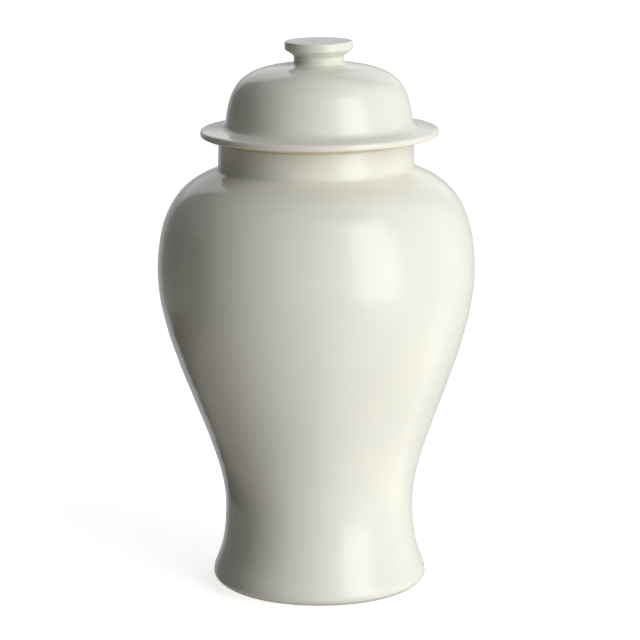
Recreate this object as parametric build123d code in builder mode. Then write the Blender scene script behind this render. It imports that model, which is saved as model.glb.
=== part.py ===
from build123d import *
import os
from math import cos, radians, sin, tan

# Lidded ginger jar, millimetres, +Z up.
# The origin is the centre of the foot, on the surface that the jar stands on.
# Every piece is a turned clay section, so each one is an outline revolved about Z.

os.makedirs("parts", exist_ok=True)

# ---- Driving dimensions: heights are above the standing surface, radii from the Z axis ----

# Clay thickness
waist_wall = 8.0
belly_wall = 7.0
cover_wall = 6.0
base_thickness = 9.0

# Foot: a recessed base inside a standing ring, with a rounded, flared heel
foot_recess_radius = 64.0
foot_recess_depth = 7.0
foot_ring_radius = 74.0
foot_radius = 87.9
heel_height = 9.0

# Waist, the narrowest part, where the foot section is luted to the lower body
waist_radius = 77.3
waist_height = 68.0

# Belly, the widest part, where the lower and upper bodies are luted together
belly_radius = 129.4
belly_height = 263.0

# Neck and mouth
neck_root_radius = 79.9
neck_root_height = 347.2
rim_radius = 78.9
rim_height = 373.0
mouth_radius = 72.6
shoulder_angle = 26.0
shoulder_inner_angle = 33.0
neck_luting_width = 4.0

# Lengths of the curve handles that shape the wall between foot, waist, belly and neck
foot_handle = 10.3
waist_lower_handle = 43.5
waist_upper_handle = 52.0
belly_lower_handle = 65.3
belly_upper_handle = 68.0
shoulder_handle = 14.0

# Lid cover: a flat brim that rests on the rim, and a tall dome
brim_radius = 96.5
brim_thickness = 5.8
brim_edge_round = 2.4
brim_slope = 5.8
dome_foot_radius = 76.9
dome_lean = 10.6
crown_radius = 24.8
crown_height = 431.2
crown_slope = 3.7
dome_foot_handle = 26.0
crown_handle = 48.0

# Locating ring under the cover, which hangs in the mouth with room to spare
ring_radius = 68.5
ring_thickness = 5.0
ring_drop = 14.0
ring_lap = 8.0

# Knob on the crown
knob_stem_radius = 20.1
knob_stem_foot_height = 434.4
knob_stem_top_radius = 20.6
knob_stem_top_height = 438.5
knob_radius = 27.5
knob_wall_foot_height = 443.4
total_height = 450.0

# Edge roundings
rim_round = 1.6
neck_root_round = 4.5
dome_foot_round = 6.0
recess_round = 3.0
ring_round = 1.6
knob_edge_round = 1.4
knob_waist_round = 1.0
floor_corner = 18.0


# ---- Derived sizes ----

# The shoulder's last stretch is straight and belongs to the neck section
shoulder_top_radius = neck_root_radius + neck_luting_width * cos(radians(shoulder_angle))
shoulder_top_height = neck_root_height - neck_luting_width * sin(radians(shoulder_angle))

# Inside of the foot section
floor_height = foot_recess_depth + base_thickness
waist_inner_radius = waist_radius - waist_wall
floor_edge_height = floor_height + floor_corner
floor_radius = waist_inner_radius - floor_corner

# Inside at the belly seam
belly_inner_radius = belly_radius - belly_wall

# Lid cover
brim_top_height = rim_height + brim_thickness
dome_foot_height = brim_top_height + (brim_radius - dome_foot_radius) * tan(radians(brim_slope))
ring_top_height = rim_height + ring_lap
ring_bottom_height = rim_height - ring_drop
crown_inner_height = crown_height - cover_wall


# ---- Helpers ----

def handle(point, angle, length):
    """A curve handle: the point at a length from another, at an angle in degrees from +X."""
    return (
        point[0] + length * cos(radians(angle)),
        point[1] + length * sin(radians(angle)),
    )


def flowing_curve(start, start_angle, start_length, end, end_angle, end_length):
    """A smooth wall line that leaves start and reaches end along the two given handles."""
    return Bezier(
        start,
        handle(start, start_angle, start_length),
        handle(end, end_angle, end_length),
        end,
    )


def turned_edge(piece, radius, height):
    """The circular edge of a turned piece that is nearest to a radius and a height."""
    circles = piece.edges().filter_by(GeomType.CIRCLE)
    return circles.sort_by(
        lambda edge: abs(edge.radius - radius) + abs(edge.arc_center.Z - height)
    )[0]


# ---- Jar, foot section: the standing ring, the recessed base and the flared wall up to the waist ----

with BuildPart() as foot:
    with BuildSketch(Plane.XZ):
        with BuildLine():
            Line((foot_recess_radius, 0), (foot_ring_radius, 0))
            EllipticalCenterArc(
                (foot_ring_radius, heel_height),
                foot_radius - foot_ring_radius,
                heel_height,
                start_angle=270,
                arc_size=90,
            )
            flowing_curve(
                (foot_radius, heel_height), 90, foot_handle,
                (waist_radius, waist_height), -90, waist_lower_handle,
            )
            Polyline(
                (waist_radius, waist_height),
                (waist_inner_radius, waist_height),
                (waist_inner_radius, floor_edge_height),
            )
            CenterArc((floor_radius, floor_edge_height), floor_corner, 0, -90)
            Polyline(
                (floor_radius, floor_height),
                (0, floor_height),
                (0, foot_recess_depth),
                (foot_recess_radius, foot_recess_depth),
                (foot_recess_radius, 0),
            )
        make_face()
    revolve(axis=Axis.Z)
    fillet(turned_edge(foot, foot_recess_radius, foot_recess_depth), recess_round)

foot.part.label = "jar_foot"
export_step(foot.part, "parts/jar_foot.step")


# ---- Jar, lower body: the wall that opens out from the waist seam to the belly seam ----

with BuildPart() as lower_body:
    with BuildSketch(Plane.XZ):
        with BuildLine():
            flowing_curve(
                (waist_radius, waist_height), 90, waist_upper_handle,
                (belly_radius, belly_height), -90, belly_lower_handle,
            )
            Line((belly_radius, belly_height), (belly_inner_radius, belly_height))
            flowing_curve(
                (belly_inner_radius, belly_height), -90, belly_lower_handle,
                (waist_inner_radius, waist_height), 90, waist_upper_handle,
            )
            Line((waist_inner_radius, waist_height), (waist_radius, waist_height))
        make_face()
    revolve(axis=Axis.Z)

lower_body.part.label = "jar_lower_body"
export_step(lower_body.part, "parts/jar_lower_body.step")


# ---- Jar, upper body: the wall above the belly seam, and the shoulder ----

with BuildPart() as upper_body:
    with BuildSketch(Plane.XZ):
        with BuildLine():
            flowing_curve(
                (belly_radius, belly_height), 90, belly_upper_handle,
                (shoulder_top_radius, shoulder_top_height), -shoulder_angle, shoulder_handle,
            )
            Line((shoulder_top_radius, shoulder_top_height), (mouth_radius, shoulder_top_height))
            flowing_curve(
                (mouth_radius, shoulder_top_height), -shoulder_inner_angle, shoulder_handle,
                (belly_inner_radius, belly_height), 90, belly_upper_handle - belly_wall,
            )
            Line((belly_inner_radius, belly_height), (belly_radius, belly_height))
        make_face()
    revolve(axis=Axis.Z)

upper_body.part.label = "jar_upper_body"
export_step(upper_body.part, "parts/jar_upper_body.step")


# ---- Jar, neck: the last of the shoulder, the upright collar and the flat seat for the lid ----

with BuildPart() as neck:
    with BuildSketch(Plane.XZ):
        with BuildLine():
            Polyline(
                (mouth_radius, shoulder_top_height),
                (shoulder_top_radius, shoulder_top_height),
                (neck_root_radius, neck_root_height),
                (rim_radius, rim_height),
                (mouth_radius, rim_height),
                close=True,
            )
        make_face()
    revolve(axis=Axis.Z)
    fillet(turned_edge(neck, neck_root_radius, neck_root_height), neck_root_round)
    fillet(turned_edge(neck, rim_radius, rim_height), rim_round)
    fillet(turned_edge(neck, mouth_radius, rim_height), rim_round)

neck.part.label = "jar_neck"
export_step(neck.part, "parts/jar_neck.step")


# ---- Lid, cover: brim, dome and the flat land that the knob is luted to ----

with BuildPart() as cover:
    with BuildSketch(Plane.XZ):
        with BuildLine():
            Polyline(
                (ring_radius, ring_top_height),
                (ring_radius, rim_height),
                (brim_radius, rim_height),
                (brim_radius, brim_top_height),
                (dome_foot_radius, dome_foot_height),
            )
            flowing_curve(
                (dome_foot_radius, dome_foot_height), 90 + dome_lean, dome_foot_handle,
                (crown_radius, crown_height), -crown_slope, crown_handle,
            )
            Polyline(
                (crown_radius, crown_height),
                (0, crown_height),
                (0, crown_inner_height),
                (crown_radius, crown_inner_height),
            )
            flowing_curve(
                (crown_radius, crown_inner_height), -crown_slope, crown_handle - cover_wall,
                (ring_radius, ring_top_height), 90 + dome_lean, dome_foot_handle,
            )
        make_face()
    revolve(axis=Axis.Z)
    fillet(turned_edge(cover, dome_foot_radius, dome_foot_height), dome_foot_round)
    fillet(turned_edge(cover, brim_radius, brim_top_height), brim_edge_round)
    fillet(turned_edge(cover, brim_radius, rim_height), brim_edge_round)

cover.part.label = "lid_cover"
export_step(cover.part, "parts/lid_cover.step")


# ---- Lid, locating ring: lapped inside the cover, hanging in the mouth ----

with BuildPart() as ring:
    with BuildSketch(Plane.XZ):
        with BuildLine():
            Polyline(
                (ring_radius - ring_thickness, ring_bottom_height),
                (ring_radius, ring_bottom_height),
                (ring_radius, ring_top_height),
                (ring_radius - ring_thickness, ring_top_height),
                close=True,
            )
        make_face()
    revolve(axis=Axis.Z)
    fillet(turned_edge(ring, ring_radius, ring_bottom_height), ring_round)
    fillet(turned_edge(ring, ring_radius - ring_thickness, ring_bottom_height), ring_round)
    fillet(turned_edge(ring, ring_radius - ring_thickness, ring_top_height), ring_round)

ring.part.label = "lid_locating_ring"
export_step(ring.part, "parts/lid_locating_ring.step")


# ---- Lid, knob: a short stem spreading into a flat-topped button ----

with BuildPart() as knob:
    with BuildSketch(Plane.XZ):
        with BuildLine():
            Line((0, crown_height), (crown_radius, crown_height))
            Bezier(
                (crown_radius, crown_height),
                (knob_stem_radius, crown_height),
                (knob_stem_radius, knob_stem_foot_height),
            )
            Polyline(
                (knob_stem_radius, knob_stem_foot_height),
                (knob_stem_top_radius, knob_stem_top_height),
                (knob_radius, knob_wall_foot_height),
                (knob_radius, total_height),
                (0, total_height),
                (0, crown_height),
            )
        make_face()
    revolve(axis=Axis.Z)
    fillet(turned_edge(knob, knob_stem_top_radius, knob_stem_top_height), knob_waist_round)
    fillet(turned_edge(knob, knob_radius, knob_wall_foot_height), knob_waist_round)
    fillet(turned_edge(knob, knob_radius, total_height), knob_edge_round)

knob.part.label = "lid_knob"
export_step(knob.part, "parts/lid_knob.step")
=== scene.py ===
import math

import bpy
import numpy as np
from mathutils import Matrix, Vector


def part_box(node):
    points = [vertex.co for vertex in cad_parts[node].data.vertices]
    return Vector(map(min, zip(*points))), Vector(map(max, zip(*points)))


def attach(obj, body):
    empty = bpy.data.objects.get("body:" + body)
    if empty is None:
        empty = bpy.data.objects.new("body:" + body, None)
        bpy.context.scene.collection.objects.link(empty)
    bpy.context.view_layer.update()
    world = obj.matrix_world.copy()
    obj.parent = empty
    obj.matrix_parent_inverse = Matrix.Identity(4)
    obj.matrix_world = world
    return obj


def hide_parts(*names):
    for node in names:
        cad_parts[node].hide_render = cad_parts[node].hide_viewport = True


# The ginger jar's looks, in metres, in the CAD frame: +Z up, standing on z = 0.
# Every piece is turned, so each one is an outline read from the CAD nodes and swept round Z.
# A clay section stands in for each CAD node, and each glaze coat is a thin piece of its own over them.

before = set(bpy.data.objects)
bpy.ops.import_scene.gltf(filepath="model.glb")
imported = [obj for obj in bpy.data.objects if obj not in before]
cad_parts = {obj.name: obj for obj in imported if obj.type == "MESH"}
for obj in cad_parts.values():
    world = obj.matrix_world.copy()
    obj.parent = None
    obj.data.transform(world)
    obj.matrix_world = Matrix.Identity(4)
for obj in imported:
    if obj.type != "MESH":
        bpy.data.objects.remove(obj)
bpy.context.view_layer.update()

MM = 0.001
TINY = 0.01 * MM
NOT_ZERO = 1e-12

# Mesh coordinates are read to this many decimals of a millimetre
DECIMALS = 3

# ---- Heights and radii from the frame ----

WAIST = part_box("jar_foot")[1].z
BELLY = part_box("jar_lower_body")[1].z
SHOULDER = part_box("jar_neck")[0].z
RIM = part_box("jar_neck")[1].z
RING_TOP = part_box("lid_locating_ring")[1].z
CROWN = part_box("lid_knob")[0].z
RING_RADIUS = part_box("lid_locating_ring")[1].x

# Where sections meet each other or the surface below, flat or upright, and along the axis
SEAM_HEIGHTS = (0, WAIST, BELLY, SHOULDER, RIM, CROWN)
SEAM_RADII = (0, RING_RADIUS)

# ---- How the glaze lies on the clay ----

# A coat reaches a glaze thickness above the clay and one into it, so that no gap shows between them
GLAZE = 0.4 * MM
COAT_DEPTH = 2 * GLAZE
BEAD_HEIGHT = 0.15 * MM
BEAD_WIDTH = 1.1 * MM
BEAD_REACH = 3 * BEAD_WIDTH
FOOT_GLAZE_LINE = 1.3 * MM
RECESS_GLAZE_RADIUS = 59.0 * MM
NECK_GLAZE_LINE = RIM - 3.4 * MM
MOUTH_GLAZE_LINE = RIM - 7.0 * MM
BRIM_GLAZE_LINE = RIM + 0.6 * MM
DOME_GLAZE_LINE = RING_TOP + 2.0 * MM

# ---- How finely outlines and sweeps are divided ----

SEGMENTS = 192
FINE_STEP = 2.0 * MM
COARSE_STEP = 8.0 * MM
SHARPEST_STEP = math.radians(7)
SHARP_CORNER = math.radians(28)
SUBSTEPS = 24
END_STEPS = 6
LONG_CHORD = 3

# Hollows and edges: how far either side is looked at, and the bend that counts as full
BEND_REACH = 1.5 * MM
FULL_BEND = math.radians(60)

# ---- Hand-made unevenness ----

# The lean and the tilt are towards -X; the throwing rings are (height, pitch, turns round the axis)
JAR_LEAN = -2.7 * MM
LEAN_START = 20 * MM
RIM_TILT = math.radians(0.48)
TILT_START = 150 * MM
LID_SHIFT = -0.1 * MM
THROWING_RINGS = ((0.07 * MM, 31 * MM, 1), (0.04 * MM, 13 * MM, -2))
OVAL = 0.0012
OVAL_TURN = 1.0


# ---- Outlines: (radius, height) points, running up the outside and down the inside ----

def same_place(a, b):
    return abs(a[0] - b[0]) < TINY and abs(a[1] - b[1]) < TINY


def outline_of(node):
    """The closed outline of a turned CAD node, read from its mesh along the seam at y = 0, x > 0."""
    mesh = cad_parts[node].data
    on_seam = {
        v.index: (round(v.co.x / MM, DECIMALS), round(v.co.z / MM, DECIMALS))
        for v in mesh.vertices
        if abs(v.co.y) < TINY and v.co.x > TINY
    }
    neighbours = {}
    for edge in mesh.edges:
        a, b = (on_seam.get(v) for v in edge.vertices)
        if a and b and a != b:
            neighbours.setdefault(a, set()).add(b)
            neighbours.setdefault(b, set()).add(a)
    ends = sorted(p for p in neighbours if len(neighbours[p]) == 1)
    chain = [ends[0] if ends else min(neighbours)]
    while onward := [p for p in sorted(neighbours[chain[-1]]) if p not in chain]:
        chain.append(onward[0])
    if ends:
        chain = [(0.0, chain[0][1])] + chain + [(0.0, chain[-1][1])]
    points = np.array(chain) * MM
    r, z = points.T
    runs_clockwise = np.sum(r * np.roll(z, -1) - np.roll(r, -1) * z) < 0
    return points[::-1] if runs_clockwise else points


def corner(outline, height, side):
    """The outline's outermost (side max) or innermost (side min) point at a height."""
    return side(tuple(p) for p in outline if abs(p[1] - height) < TINY)


def on_axis(outline, side):
    """The outline's highest (side max) or lowest (side min) point on the axis."""
    return (0, side(p[1] for p in outline if p[0] < TINY))


def run(outline, start, end):
    """The stretch of an outline from the point nearest to start, onward to the one nearest to end."""
    first = int(np.argmin(np.hypot(*(outline - start).T)))
    rolled = np.roll(outline, -first, axis=0)
    last = int(np.argmin(np.hypot(*(rolled - end).T)))
    return rolled[: last + 1]


def join(*stretches):
    """Stretches laid end to end, without the points that they share."""
    points = [p for stretch in stretches for p in stretch]
    return np.array([p for i, p in enumerate(points) if i == 0 or not same_place(p, points[i - 1])])


def direction(vectors):
    return vectors / np.maximum(np.hypot(*vectors.T), NOT_ZERO)[:, None]


def along(line):
    """The distance of each point from the first, along the line."""
    return np.concatenate([[0], np.cumsum(np.hypot(*np.diff(line, axis=0).T))])


def smooth(points):
    """A smooth line through the points, straight where they are far apart, as points close together."""
    chords = np.diff(points, axis=0)
    lengths = np.hypot(*chords.T)[:, None]
    slopes = chords / lengths
    before, after = lengths[:-1], lengths[1:]
    inner = (slopes[:-1] * after + slopes[1:] * before) / (before + after)
    inner = np.where(after > LONG_CHORD * before, slopes[1:], inner)
    inner = np.where(before > LONG_CHORD * after, slopes[:-1], inner)
    tangents = direction(np.vstack([slopes[:1], inner, slopes[-1:]]))
    t = (np.arange(SUBSTEPS) / SUBSTEPS)[None, :, None]
    start, end = points[:-1, None], points[1:, None]
    leave, arrive = (tangents[:-1] * lengths)[:, None], (tangents[1:] * lengths)[:, None]
    curve = (
        start * (2 * t**3 - 3 * t**2 + 1)
        + leave * (t**3 - 2 * t**2 + t)
        + end * (3 * t**2 - 2 * t**3)
        + arrive * (t**3 - t**2)
    )
    return np.vstack([curve.reshape(-1, 2), points[-1:]])


def headings(line):
    steps = np.gradient(line, axis=0)
    return np.unwrap(np.arctan2(steps[:, 1], steps[:, 0]))


def stations(line, longest_step):
    """Distances along a line that are close together where it bends, with both of its ends."""
    heading = headings(line)
    distance = along(line)
    kept = [0]
    for i in range(1, len(line) - 1):
        turned = abs(heading[i] - heading[kept[-1]])
        if turned > SHARPEST_STEP or distance[i + 1] - distance[kept[-1]] > longest_step:
            kept.append(i)
    return distance[kept + [len(line) - 1]]


def at(line, distances):
    """The points of a line at distances along it, and the unit normals that point out of the clay."""
    distance = along(line)
    heading = np.interp(distances, distance, headings(line))
    points = np.column_stack([np.interp(distances, distance, line[:, i]) for i in (0, 1)])
    return points, np.column_stack([np.sin(heading), -np.cos(heading)])


def hollow(line, distances):
    """How much a line lies in a hollow (up to 1) or over an edge (down to -1) at distances along it."""
    distance, heading = along(line), headings(line)
    ahead = np.interp(distances + BEND_REACH, distance, heading)
    behind = np.interp(distances - BEND_REACH, distance, heading)
    return np.clip((behind - ahead) / FULL_BEND, -1, 1)


# ---- The faces that are glazed, each as a line along the surface ----

def jar_outside():
    foot, lower = outline_of("jar_foot"), outline_of("jar_lower_body")
    upper, neck = outline_of("jar_upper_body"), outline_of("jar_neck")
    return smooth(join(
        run(foot, corner(foot, 0, max), corner(foot, WAIST, max)),
        run(lower, corner(lower, WAIST, max), corner(lower, BELLY, max)),
        run(upper, corner(upper, BELLY, max), corner(upper, SHOULDER, max)),
        run(neck, corner(neck, SHOULDER, max), corner(neck, RIM, max)),
    ))


def jar_inside():
    foot, lower = outline_of("jar_foot"), outline_of("jar_lower_body")
    upper, neck = outline_of("jar_upper_body"), outline_of("jar_neck")
    return smooth(join(
        run(neck, corner(neck, RIM, min), corner(neck, SHOULDER, min)),
        run(upper, corner(upper, SHOULDER, min), corner(upper, BELLY, min)),
        run(lower, corner(lower, BELLY, min), corner(lower, WAIST, min)),
        run(foot, corner(foot, WAIST, min), on_axis(foot, max)),
    ))


def recess():
    foot = outline_of("jar_foot")
    return smooth(run(foot, on_axis(foot, min), corner(foot, 0, min)))


def lid_outside():
    cover, knob = outline_of("lid_cover"), outline_of("lid_knob")
    return smooth(join(
        run(cover, corner(cover, RIM, max), corner(cover, CROWN, max)),
        run(knob, corner(knob, CROWN, max), on_axis(knob, max)),
    ))


def lid_inside():
    cover = outline_of("lid_cover")
    return smooth(run(cover, on_axis(cover, min), (RING_RADIUS, RING_TOP)))


# ---- Closed outlines of the pieces ----

def clay_outline(node, coated=True):
    """A CAD node's outline, a glaze thickness below its surface except on the faces that meet others."""
    outline = outline_of(node)
    if not coated:
        return outline
    step = np.roll(outline, -1, axis=0) - outline
    level = np.min(np.abs(outline[:, 1, None] - SEAM_HEIGHTS), axis=1) < TINY
    inmost = np.min(np.abs(outline[:, 0, None] - SEAM_RADII), axis=1) < TINY
    flat = level & (np.abs(step[:, 1]) < TINY)
    upright = inmost & (np.abs(step[:, 0]) < TINY)
    face = direction(np.column_stack([step[:, 1], -step[:, 0]]))
    face[flat | upright] = 0
    push = direction(face + np.roll(face, 1, axis=0)) * GLAZE
    push[flat | np.roll(flat, 1), 1] = 0
    push[upright | np.roll(upright, 1), 0] = 0
    return outline - push


def coat_outline(line):
    """The closed outline of a glaze coat over a line, with a rounded bead where it ends off the axis.

    The hollow value of each point comes with it."""
    length = along(line)[-1]
    rounding = COAT_DEPTH * (1 - np.cos(np.linspace(0, math.pi / 2, END_STEPS)))
    bead = np.linspace(COAT_DEPTH, BEAD_REACH, END_STEPS)[1:]
    near_end = np.concatenate([rounding, bead])
    ends = [end for end, point in ((0.0, line[0]), (length, line[-1])) if point[0] > TINY]
    outer = stations(line, FINE_STEP)
    for end in ends:
        away = np.abs(outer - end) > near_end[-1]
        outer = np.union1d(outer[away], np.abs(end - near_end))
    from_end = np.min([np.abs(outer - end) for end in ends], axis=0)
    inward = COAT_DEPTH - np.minimum(from_end, COAT_DEPTH)
    drop = COAT_DEPTH - np.sqrt(COAT_DEPTH**2 - inward**2)
    lift = BEAD_HEIGHT * np.exp(-((from_end / BEAD_WIDTH) ** 2)) - drop
    surface, outward = at(line, outer)
    inner = stations(line, COARSE_STEP)
    backing, inner_outward = at(line, inner)
    points = np.vstack([
        surface + outward * lift[:, None],
        (backing - inner_outward * COAT_DEPTH)[::-1],
    ])
    return points, np.concatenate([hollow(line, outer), np.zeros(len(inner))])


# ---- Sweeping an outline round the axis ----

def ease(values, start, end):
    t = np.clip((values - start) / (end - start), 0, 1)
    return t * t * (3 - 2 * t)


def hand_thrown(points, angles):
    """Faint throwing rings that climb round the wall, and a wall that isn't quite round."""
    x, y, z = points.T
    r = np.hypot(x, y)
    grow = OVAL * r * np.cos(2 * angles - OVAL_TURN) * ease(z, 0, BELLY)
    for height, pitch, turns in THROWING_RINGS:
        grow = grow + height * np.sin(2 * math.pi * z / pitch + turns * angles) * ease(z, 0, WAIST)
    scale = 1 + grow / np.maximum(r, TINY)
    return np.column_stack([x * scale, y * scale, z])


def settled_jar(points):
    """The jar's lean to one side and its tilted rim."""
    x, y, z = points.T
    lifted = z + x * math.tan(RIM_TILT) * ease(z, TILT_START, SHOULDER)
    return np.column_stack([x + JAR_LEAN * ease(z, LEAN_START, BELLY), y, lifted])


def settled_lid(points):
    """The lid, lying on the tilted rim."""
    x, y, z = points.T
    sine, cosine = math.sin(RIM_TILT), math.cos(RIM_TILT)
    level = z - RIM
    return np.column_stack([x * cosine - level * sine + LID_SHIFT, y, RIM + x * sine + level * cosine])


def turned(name, body, outline, hollows=None):
    """A closed outline swept round the axis, as a piece that rides on a body."""
    angles = np.arange(SEGMENTS) * 2 * math.pi / SEGMENTS
    rows, places, place_angles, values = [], [], [], []
    for i, (r, z) in enumerate(outline):
        count = 1 if r < TINY else SEGMENTS
        rows.append([len(places) + j % count for j in range(SEGMENTS)])
        for a in angles[:count]:
            places.append((r * math.cos(a), r * math.sin(a), z))
            place_angles.append(a)
            values.append(0 if hollows is None else hollows[i])
    faces = []
    for low, high in zip(rows, rows[1:] + rows[:1]):
        for j in range(SEGMENTS):
            k = (j + 1) % SEGMENTS
            ring = [low[j], low[k], high[k], high[j]]
            face = [v for n, v in enumerate(ring) if v != ring[n - 1]]
            if len(face) > 2:
                faces.append(face)
    points = hand_thrown(np.array(places), np.array(place_angles))
    points = settled_jar(points) if body == "jar" else settled_lid(points)
    mesh = bpy.data.meshes.new(name)
    mesh.from_pydata(points.tolist(), [], faces)
    mesh.attributes.new("hollow", "FLOAT", "POINT").data.foreach_set("value", values)
    mesh.shade_smooth()
    mesh.set_sharp_from_angle(angle=SHARP_CORNER)
    piece = bpy.data.objects.new(name, mesh)
    bpy.context.scene.collection.objects.link(piece)
    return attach(piece, body)


def clay_section(name, body, node, material, coated=True):
    """A bare clay section that stands in for a CAD node."""
    piece = turned(name, body, clay_outline(node, coated))
    piece.data.materials.append(material)
    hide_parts(node)
    return piece


def glaze_coat(name, body, line, material):
    """A coat of glaze over a line along the surface."""
    piece = turned(name, body, *coat_outline(line))
    piece.data.materials.append(material)
    return piece


# ---- Materials ----

WHITE = (1, 1, 1, 1)

# The sockets of a Mix node that carry colours
MIX_A, MIX_B, MIX_RESULT = 6, 7, 2


def add(tree, kind, inputs=(), **settings):
    """A new node, with its settings, and its inputs linked or set."""
    made = tree.nodes.new(kind)
    for name, value in settings.items():
        setattr(made, name, value)
    for socket, value in dict(inputs).items():
        if isinstance(value, bpy.types.NodeSocket):
            tree.links.new(value, made.inputs[socket])
        else:
            made.inputs[socket].default_value = value
    return made


def noise(tree, place, scale, detail):
    """Smooth noise from 0 to 1, with that many swells in a metre and that many finer layers."""
    return add(tree, "ShaderNodeTexNoise", {"Vector": place, "Scale": scale, "Detail": detail}).outputs[0]


def spread(tree, value, low, high, new_low=0.0, new_high=1.0):
    """A value from low to high, spread smoothly over a new range."""
    inputs = {"Value": value, "From Min": low, "From Max": high, "To Min": new_low, "To Max": new_high}
    return add(tree, "ShaderNodeMapRange", inputs, interpolation_type="SMOOTHSTEP").outputs[0]


def maths(tree, operation, a, b=0.0):
    return add(tree, "ShaderNodeMath", {0: a, 1: b}, operation=operation).outputs[0]


def blended(tree, amount, a, b):
    """Colour a turning into colour b by an amount from 0 to 1."""
    mix = add(tree, "ShaderNodeMix", {"Factor": amount}, data_type="RGBA")
    for socket, colour in ((mix.inputs[MIX_A], a), (mix.inputs[MIX_B], b)):
        if isinstance(colour, bpy.types.NodeSocket):
            tree.links.new(colour, socket)
        else:
            socket.default_value = (*colour, 1.0)
    return mix.outputs[MIX_RESULT]


def bumped(tree, height, distance, onto=None):
    inputs = {"Height": height, "Distance": distance, "Strength": 1.0}
    if onto is not None:
        inputs["Normal"] = onto
    return add(tree, "ShaderNodeBump", inputs).outputs[0]


def surface_of(name):
    """A material that has only its shader so far."""
    material = bpy.data.materials.new(name)
    material.use_nodes = True
    tree = material.node_tree
    return material, tree, tree.nodes["Principled BSDF"]


def place_in(tree):
    """The coordinates that a material's nodes start from, which are the CAD frame's."""
    return add(tree, "ShaderNodeTexCoord").outputs["Object"]


IVORY = (0.835, 0.835, 0.735)
IVORY_COOL = (0.81, 0.815, 0.72)
IVORY_POOLED = (0.71, 0.72, 0.61)
IVORY_THIN = (0.85, 0.825, 0.72)
IRON_SPECK = (0.33, 0.27, 0.17)

# How strongly the glaze's colour turns where it pools, where it is thin and where a speck lies
POOLING = 0.5
THINNING = 0.8
SPECKING = 0.3

# Specks: cells in a metre, the share of cells without one, and the speck's edge in cell sizes
SPECK_CELLS = 150.0
SPECK_RARITY = 0.97
SPECK_EDGE = (0.10, 0.03)

# Swells in a metre, and the depth of the unevenness
GLAZE_CLOUDS = 14
GLAZE_HAZE = 60
GLAZE_SWELL, SWELL_DEPTH = 42, 0.22 * MM
GLAZE_PEEL, PEEL_DEPTH = 520, 0.006 * MM
PIT_DEPTH = 0.03 * MM

GLAZE_ROUGHNESS = (0.05, 0.10)
GLAZE_IOR = 1.5
GLAZE_SPECULAR = 0.4


def glaze_colour(tree, place, speck):
    """Ivory in faint clouds, darker where it pools in a hollow, warmer where it is thin over an edge."""
    clouds = spread(tree, noise(tree, place, GLAZE_CLOUDS, detail=3), 0.35, 0.7)
    colour = blended(tree, clouds, IVORY, IVORY_COOL)
    hollows = add(tree, "ShaderNodeAttribute", attribute_name="hollow").outputs["Fac"]
    pooled = maths(tree, "MULTIPLY", spread(tree, hollows, 0.05, 0.9), POOLING)
    thin = maths(tree, "MULTIPLY", spread(tree, hollows, -0.05, -0.9), THINNING)
    colour = blended(tree, pooled, colour, IVORY_POOLED)
    colour = blended(tree, thin, colour, IVORY_THIN)
    return blended(tree, maths(tree, "MULTIPLY", speck, SPECKING), colour, IRON_SPECK)


def specks(tree, place):
    """1 in the middle of a few small spots, and 0 elsewhere."""
    cells = add(tree, "ShaderNodeTexVoronoi", {"Vector": place, "Scale": SPECK_CELLS})
    chance = add(tree, "ShaderNodeSeparateColor", {0: cells.outputs["Color"]}).outputs[0]
    near = spread(tree, cells.outputs["Distance"], *SPECK_EDGE)
    return maths(tree, "MULTIPLY", near, maths(tree, "GREATER_THAN", chance, SPECK_RARITY))


def glaze_material():
    """Glossy ivory glaze with a slightly uneven surface and a few iron specks."""
    material, tree, shader = surface_of("ivory_glaze")
    place = place_in(tree)
    speck = specks(tree, place)
    tree.links.new(glaze_colour(tree, place, speck), shader.inputs["Base Color"])
    haze = spread(tree, noise(tree, place, GLAZE_HAZE, detail=4), 0.3, 0.7, *GLAZE_ROUGHNESS)
    tree.links.new(haze, shader.inputs["Roughness"])
    swell = bumped(tree, noise(tree, place, GLAZE_SWELL, detail=1), SWELL_DEPTH)
    peel = bumped(tree, noise(tree, place, GLAZE_PEEL, detail=2), PEEL_DEPTH, swell)
    pits = bumped(tree, maths(tree, "SUBTRACT", 1.0, speck), PIT_DEPTH, peel)
    tree.links.new(pits, shader.inputs["Normal"])
    shader.inputs["IOR"].default_value = GLAZE_IOR
    shader.inputs["Specular IOR Level"].default_value = GLAZE_SPECULAR
    return material


CLAY = (0.74, 0.66, 0.48)
CLAY_PALE = (0.80, 0.73, 0.56)
CLAY_GRIT = (0.34, 0.26, 0.16)

# How strongly grit and scuffs darken the clay, and the height of what rubs on the surface below
GRITTING = 0.7
SCUFFING = 0.6
SCUFF_HEIGHT = 0.5 * MM

# Swells in a metre, and the depth of the unevenness
CLAY_CLOUDS = 45
GRIT_SPOTS = 1500
SCUFF_PATCHES = 120
TURNING_LINES, TURNING_DEPTH = 700, 0.08 * MM
CLAY_GRAIN, GRAIN_DEPTH = 1800, 0.05 * MM

CLAY_ROUGHNESS = (0.78, 0.92)


def turning_place(tree, axes):
    """Coordinates that are the same all the way round the axis, as a turning tool leaves its lines."""
    radius = maths(tree, "SQRT", maths(
        tree, "ADD",
        maths(tree, "MULTIPLY", axes.outputs[0], axes.outputs[0]),
        maths(tree, "MULTIPLY", axes.outputs[1], axes.outputs[1]),
    ))
    return add(tree, "ShaderNodeCombineXYZ", {0: radius, 2: axes.outputs[2]}).outputs[0]


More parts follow.
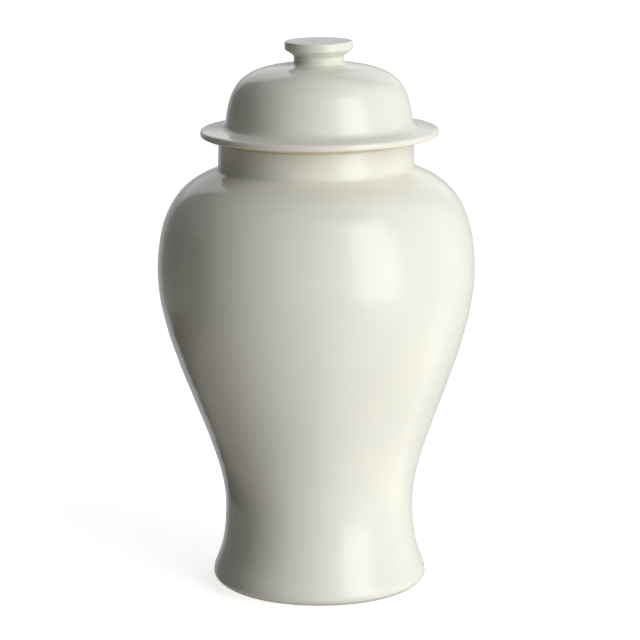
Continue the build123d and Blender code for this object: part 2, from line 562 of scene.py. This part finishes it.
def clay_material():
    """Matt buff clay with turning lines, fine grit and a scuffed foot."""
    material, tree, shader = surface_of("bare_clay")
    place = place_in(tree)
    axes = add(tree, "ShaderNodeSeparateXYZ", {0: place})
    clouds = spread(tree, noise(tree, place, CLAY_CLOUDS, detail=4), 0.3, 0.7)
    colour = blended(tree, clouds, CLAY, CLAY_PALE)
    grit = spread(tree, noise(tree, place, GRIT_SPOTS, detail=1), 0.66, 0.74)
    colour = blended(tree, maths(tree, "MULTIPLY", grit, GRITTING), colour, CLAY_GRIT)
    rubbed = spread(tree, axes.outputs[2], SCUFF_HEIGHT, 0.0)
    patches = spread(tree, noise(tree, place, SCUFF_PATCHES, detail=4), 0.4, 0.65)
    scuffs = maths(tree, "MULTIPLY", rubbed, patches)
    colour = blended(tree, maths(tree, "MULTIPLY", scuffs, SCUFFING), colour, CLAY_GRIT)
    tree.links.new(colour, shader.inputs["Base Color"])
    tree.links.new(spread(tree, clouds, 0.0, 1.0, *CLAY_ROUGHNESS), shader.inputs["Roughness"])
    turning = noise(tree, turning_place(tree, axes), TURNING_LINES, detail=3)
    grooves = bumped(tree, turning, TURNING_DEPTH)
    grain = bumped(tree, noise(tree, place, CLAY_GRAIN, detail=3), GRAIN_DEPTH, grooves)
    tree.links.new(grain, shader.inputs["Normal"])
    return material


FLOOR_WHITE = (0.8, 0.8, 0.8, 1.0)
FLOOR_ROUGHNESS = 0.9
FLOOR_LIFT = 0.7


def floor_material():
    """Matt white for the camera alone, lifted as an overexposed studio sweep is, and clear from below."""
    material, tree, shader = surface_of("studio_floor")
    shader.inputs["Base Color"].default_value = FLOOR_WHITE
    shader.inputs["Roughness"].default_value = FLOOR_ROUGHNESS
    shader.inputs["Emission Color"].default_value = WHITE
    shader.inputs["Emission Strength"].default_value = FLOOR_LIFT
    seen = add(tree, "ShaderNodeLightPath").outputs["Is Camera Ray"]
    from_below = add(tree, "ShaderNodeNewGeometry").outputs["Backfacing"]
    shown = maths(tree, "MULTIPLY", seen, maths(tree, "SUBTRACT", 1.0, from_below))
    clear = add(tree, "ShaderNodeBsdfTransparent").outputs[0]
    mix = add(tree, "ShaderNodeMixShader", {0: shown, 1: clear, 2: shader.outputs[0]})
    tree.links.new(mix.outputs[0], tree.nodes["Material Output"].inputs["Surface"])
    return material


# ---- The pieces ----

glaze = glaze_material()
clay = clay_material()

clay_section("jar_foot_clay", "jar", "jar_foot", clay)
clay_section("jar_lower_body_clay", "jar", "jar_lower_body", clay)
clay_section("jar_upper_body_clay", "jar", "jar_upper_body", clay)
clay_section("jar_neck_clay", "jar", "jar_neck", clay)
clay_section("lid_cover_clay", "lid", "lid_cover", clay)
clay_section("lid_ring_clay", "lid", "lid_locating_ring", clay, coated=False)
clay_section("lid_knob_clay", "lid", "lid_knob", clay)

outside = jar_outside()
inside = jar_inside()
base = recess()
cap = lid_outside()
dome = lid_inside()
glazed = (outside[:, 1] >= FOOT_GLAZE_LINE) & (outside[:, 1] <= NECK_GLAZE_LINE)
glaze_coat("jar_glaze_outer", "jar", outside[glazed], glaze)
glaze_coat("jar_glaze_inner", "jar", inside[inside[:, 1] <= MOUTH_GLAZE_LINE], glaze)
glaze_coat("jar_glaze_base", "jar", base[base[:, 0] <= RECESS_GLAZE_RADIUS], glaze)
glaze_coat("lid_glaze_outer", "lid", cap[cap[:, 1] >= BRIM_GLAZE_LINE], glaze)
glaze_coat("lid_glaze_inner", "lid", dome[dome[:, 1] >= DOME_GLAZE_LINE], glaze)


# ---- Floor, light and camera ----

FLOOR_SIZE = 24.0
CAMERA_PLACE = (0.4 * MM, -2.4, 0.72)
CAMERA_PITCH = math.radians(11.76)
CAMERA_LENS = 168.1
CAMERA_SENSOR = 36.0


def floor():
    half = FLOOR_SIZE / 2
    mesh = bpy.data.meshes.new("studio_floor")
    corners = [(-half, -half, 0), (half, -half, 0), (half, half, 0), (-half, half, 0)]
    mesh.from_pydata(corners, [], [(0, 1, 2, 3)])
    mesh.materials.append(floor_material())
    made = bpy.data.objects.new("studio_floor", mesh)
    bpy.context.scene.collection.objects.link(made)


def camera():
    data = bpy.data.cameras.new("camera")
    data.lens = CAMERA_LENS
    data.sensor_width = CAMERA_SENSOR
    made = bpy.data.objects.new("camera", data)
    made.location = CAMERA_PLACE
    made.rotation_euler = (math.pi / 2 - CAMERA_PITCH, 0, 0)
    bpy.context.scene.collection.objects.link(made)
    bpy.context.scene.camera = made


def softbox(tree, ray, azimuth, elevation, width, height, feather, strength, colour):
    """A soft-edged rectangle of light in the sky, with its sizes in degrees."""
    turn = add(tree, "ShaderNodeVectorRotate", {"Vector": ray, "Angle": -math.radians(azimuth)})
    turn.rotation_type = "Z_AXIS"
    axes = add(tree, "ShaderNodeSeparateXYZ", {0: turn.outputs[0]})
    ahead = maths(tree, "MULTIPLY", axes.outputs[1], -1.0)
    across = maths(tree, "ABSOLUTE", maths(tree, "ARCTAN2", axes.outputs[0], ahead))
    up = maths(tree, "ARCSINE", axes.outputs[2])
    off_level = maths(tree, "ABSOLUTE", maths(tree, "SUBTRACT", up, math.radians(elevation)))
    lit = strength
    for angle, size in ((across, width), (off_level, height)):
        outer, inner = math.radians(size + feather) / 2, math.radians(size - feather) / 2
        lit = maths(tree, "MULTIPLY", spread(tree, angle, outer, inner), lit)
    return add(tree, "ShaderNodeVectorMath", {0: colour, "Scale": lit}, operation="SCALE").outputs[0]


# Azimuth from the camera's side towards +X, elevation, width, height, feather (degrees), strength, colour.
# Key, fill by the camera, top right, pale backdrop on the right and behind, overhead, backdrop on the
# left, dark left side, and what the floor throws back on the right and on the left.
SOFTBOXES = (
    (45, 16, 34, 64, 22, 4.15, (0.99, 0.995, 1.03)),
    (18, 20, 36, 56, 18, 0.86, (1.02, 1.0, 0.96)),
    (80, 48, 60, 24, 16, 0.77, (1.0, 1.0, 1.0)),
    (138, 4, 76, 80, 7, 0.6, (1.0, 1.0, 0.99)),
    (180, 26, 60, 34, 7, 0.5, (0.98, 1.0, 1.03)),
    (130, 68, 130, 30, 16, 0.85, (0.96, 1.0, 1.07)),
    (-166, 6, 36, 72, 7, 0.58, (0.98, 1.0, 1.03)),
    (-125, 4, 44, 46, 5, 0.34, (1.02, 1.0, 0.95)),
    (64, -50, 120, 60, 16, 0.86, (1.04, 1.0, 0.94)),
    (-90, -52, 140, 46, 10, 0.33, (1.05, 1.0, 0.92)),
)


def studio_light():
    """Soft boxes of light that only the object sees, and plain white behind it for the camera."""
    world = bpy.data.worlds.new("studio")
    world.use_nodes = True
    tree = world.node_tree
    ray = add(tree, "ShaderNodeTexCoord").outputs["Generated"]
    total = (0.0, 0.0, 0.0)
    for box in SOFTBOXES:
        total = add(tree, "ShaderNodeVectorMath", {0: softbox(tree, ray, *box), 1: total}).outputs[0]
    lights = tree.nodes["Background"]
    tree.links.new(total, lights.inputs["Color"])
    backdrop = add(tree, "ShaderNodeBackground", {"Color": WHITE})
    seen = add(tree, "ShaderNodeLightPath").outputs["Is Camera Ray"]
    mix = add(tree, "ShaderNodeMixShader", {0: seen, 1: lights.outputs[0], 2: backdrop.outputs[0]})
    tree.links.new(mix.outputs[0], tree.nodes["World Output"].inputs["Surface"])
    bpy.context.scene.world = world


floor()
camera()
studio_light()
bpy.context.scene.view_settings.view_transform = "Standard"
